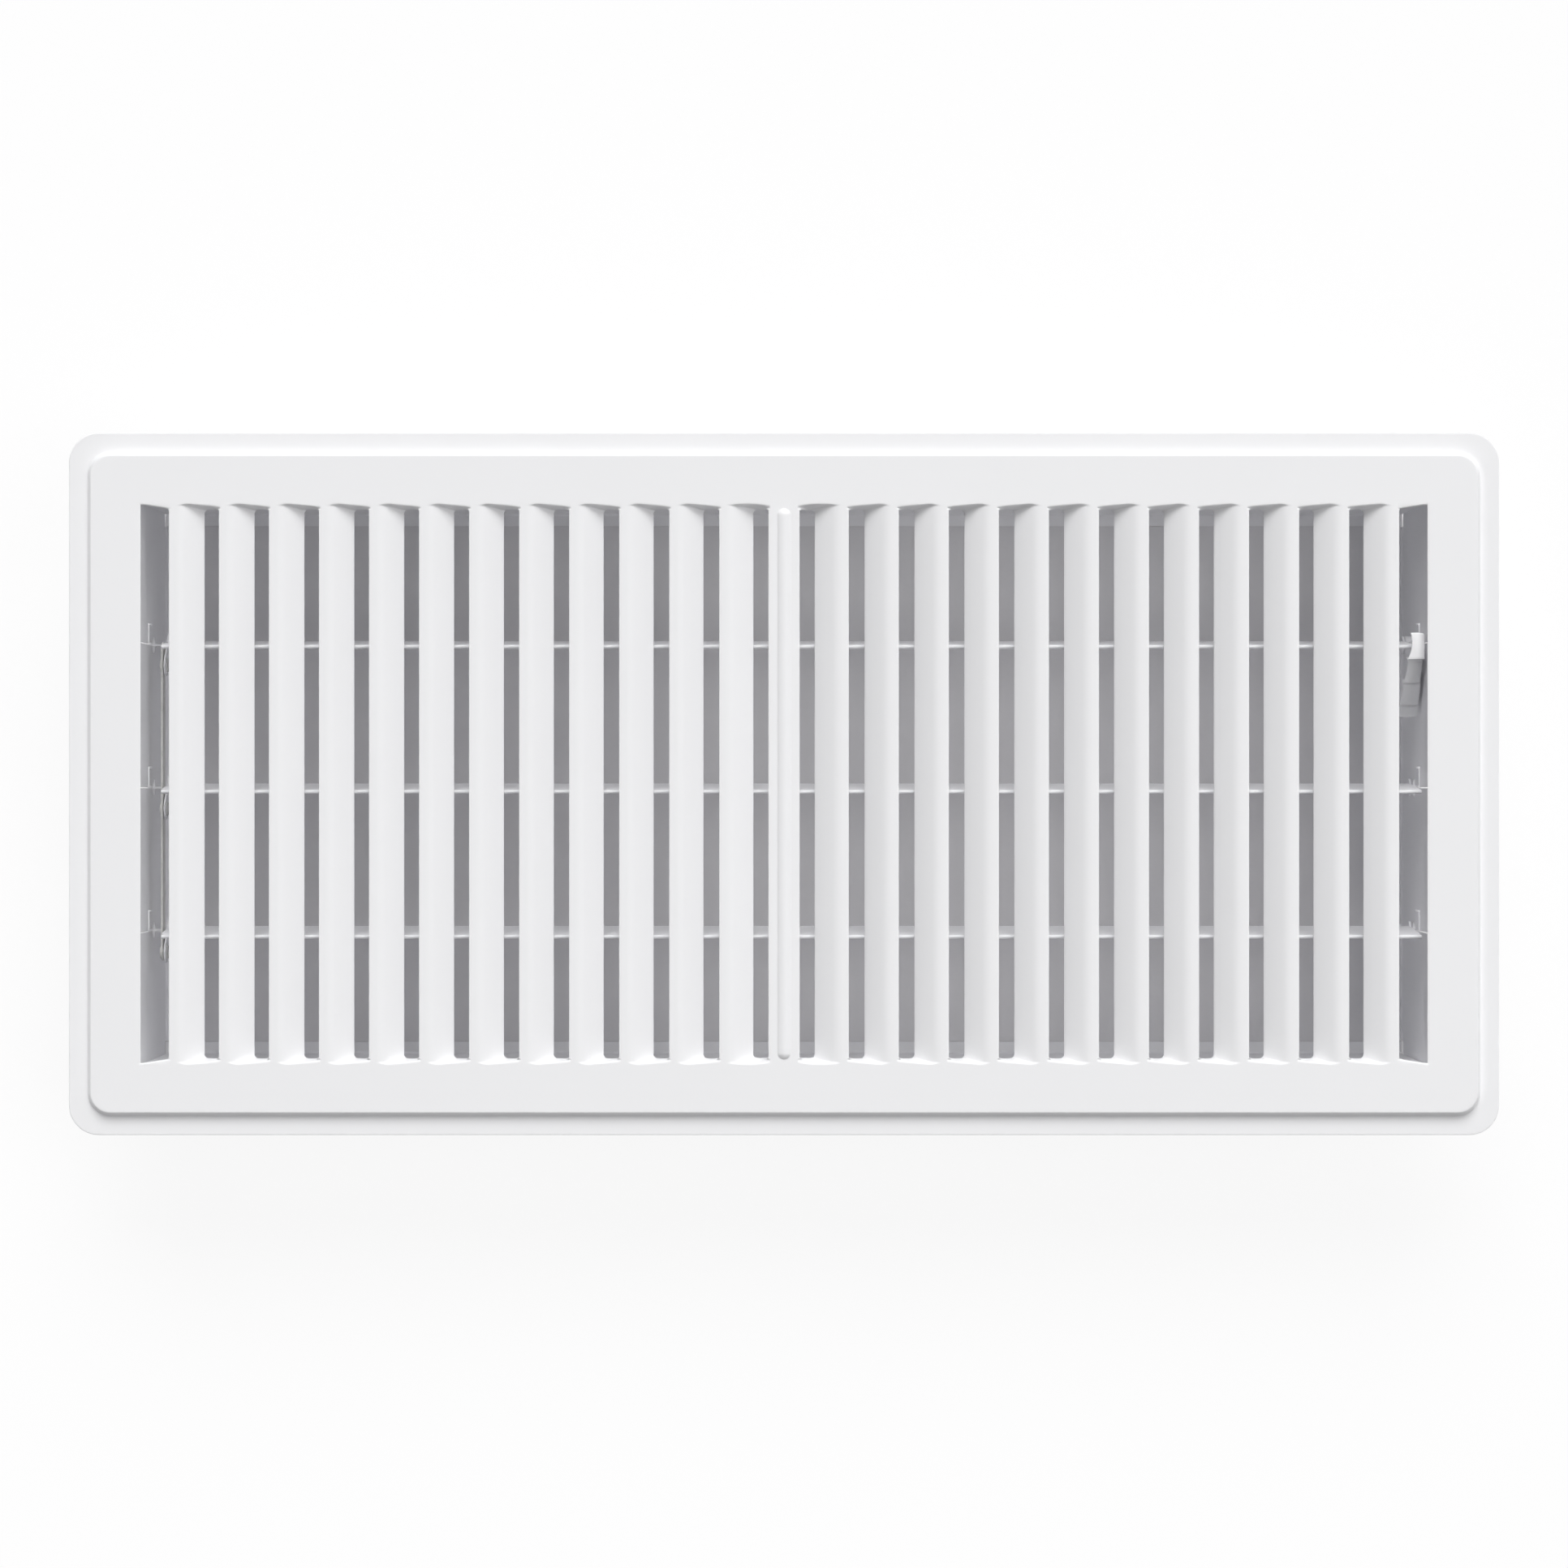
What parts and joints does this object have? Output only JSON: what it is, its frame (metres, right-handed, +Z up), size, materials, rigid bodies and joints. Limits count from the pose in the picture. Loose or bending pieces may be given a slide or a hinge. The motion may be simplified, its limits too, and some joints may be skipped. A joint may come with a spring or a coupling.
{
  "type": "floor register",
  "caption": "Rectangular white steel floor register: pressed louvred face on a shallow duct box with tied damper blades turned by a thumb lever.",
  "frame": {"origin": "centre of the box's bottom edge plane, under the middle of the face", "axes": "+X along the face's long side, +Y across it away from the viewer, +Z up through the louvred face"},
  "size_m": [0.381, 0.187, 0.049],
  "materials": {
    "white_enamel": "semi-gloss white powder coat",
    "zinc_plate": "zinc plated",
    "lever_plastic": "satin moulded"
  },
  "bodies": {
    "frame": {"face_grille": "white_enamel", "side_wall_far": "white_enamel", "side_wall_near": "white_enamel", "end_wall_left": "white_enamel", "end_wall_right": "white_enamel"},
    "blade_1": {"damper_blade_1": "white_enamel", "link_rivet_1": "zinc_plate", "thumb_lever": "lever_plastic"},
    "blade_2": {"damper_blade_2": "white_enamel", "link_rivet_2": "zinc_plate"},
    "blade_3": {"damper_blade_3": "white_enamel", "link_rivet_3": "zinc_plate"},
    "tie_bar": {"tie_bar": "zinc_plate"}
  },
  "joints": [
    {"name": "damper_turn", "type": "hinge", "parent": "frame", "child": "blade_1", "pos_m": [0, 0.0378, 0.02111], "axis": [-1, 0, 0], "range_deg": [0, 85]},
    {"name": "blade_2_turn", "type": "hinge", "parent": "frame", "child": "blade_2", "pos_m": [0, -0.001, 0.02111], "axis": [-1, 0, 0], "range_deg": [0, 85]},
    {"name": "blade_3_turn", "type": "hinge", "parent": "frame", "child": "blade_3", "pos_m": [0, -0.0398, 0.02111], "axis": [-1, 0, 0], "range_deg": [0, 85]},
    {"name": "tie_bar_swing", "type": "hinge", "parent": "blade_1", "child": "tie_bar", "pos_m": [-0.1683, 0.03206, 0.02737], "axis": [-1, 0, 0], "range_deg": [-85, 0]}
  ],
  "couplings": [
    {"joint": "blade_2_turn", "follows": "damper_turn", "ratio": 1},
    {"joint": "blade_3_turn", "follows": "damper_turn", "ratio": 1},
    {"joint": "tie_bar_swing", "follows": "damper_turn", "ratio": -1}
  ]
}
